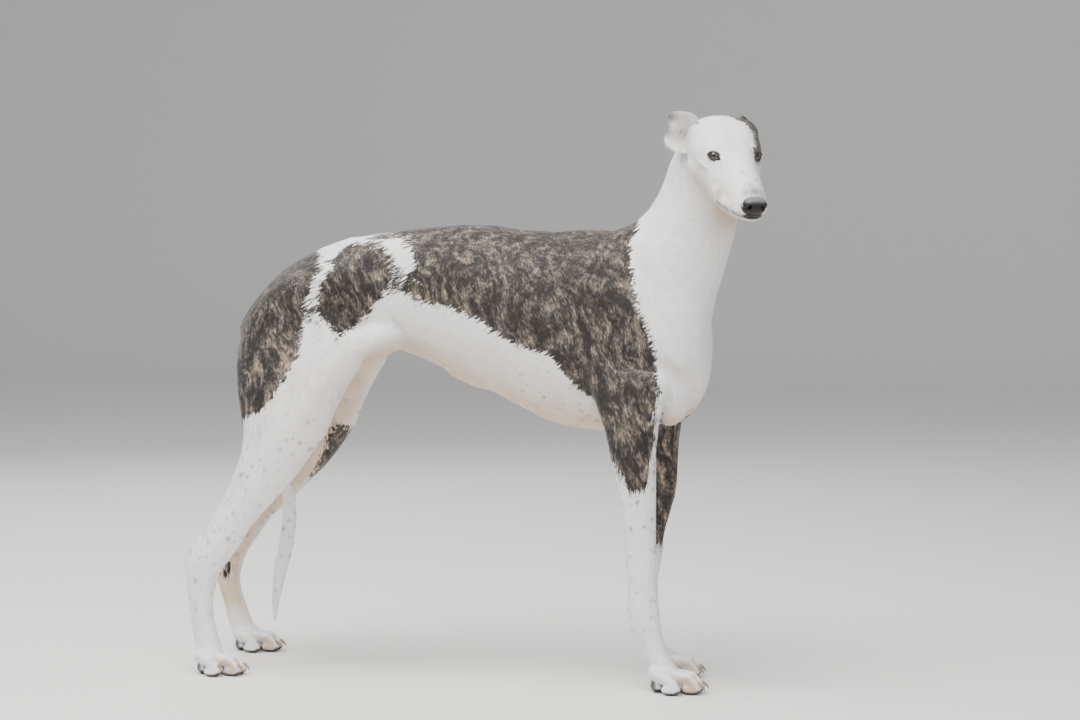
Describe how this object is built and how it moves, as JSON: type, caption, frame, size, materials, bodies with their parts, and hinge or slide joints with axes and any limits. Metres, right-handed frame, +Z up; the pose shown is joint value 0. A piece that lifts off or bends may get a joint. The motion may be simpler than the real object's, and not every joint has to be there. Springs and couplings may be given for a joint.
{
  "type": "greyhound",
  "caption": "Still, life-size model of a standing white and brindle greyhound with its head turned to its right and its tail hanging between the hind legs.",
  "frame": {"origin": "middle of the underside of the whole dog's box, on the floor that its pads stand on", "axes": "+X from the rump towards the chest, +Y to the dog's own left, +Z up"},
  "size_m": [1.0009, 0.3735, 0.9007],
  "materials": {
    "white_coat": "short flat hair, white with a few grey ticks",
    "brindle_coat": "short flat hair, near black broken by fawn stripes",
    "nose_leather": "moist pebbled black skin",
    "eye_gloss": "glossy dark brown eye"
  },
  "bodies": {
    "root": {"head": "white_coat", "nose": "nose_leather", "eye_right": "eye_gloss", "eye_left": "eye_gloss", "ear_right": "white_coat", "ear_left": "brindle_coat", "neck": "white_coat", "chest": "brindle_coat", "abdomen": "white_coat", "croup": "brindle_coat", "forearm_right": "white_coat", "fore_pastern_right": "white_coat", "fore_paw_right": "white_coat", "forearm_left": "white_coat", "fore_pastern_left": "white_coat", "fore_paw_left": "white_coat", "thigh_right": "white_coat", "gaskin_right": "white_coat", "hind_pastern_right": "white_coat", "hind_paw_right": "white_coat", "thigh_left": "white_coat", "gaskin_left": "white_coat", "hind_pastern_left": "white_coat", "hind_paw_left": "white_coat", "tail_root": "white_coat", "tail_middle": "white_coat", "tail_tip": "white_coat"}
  },
  "joints": []
}
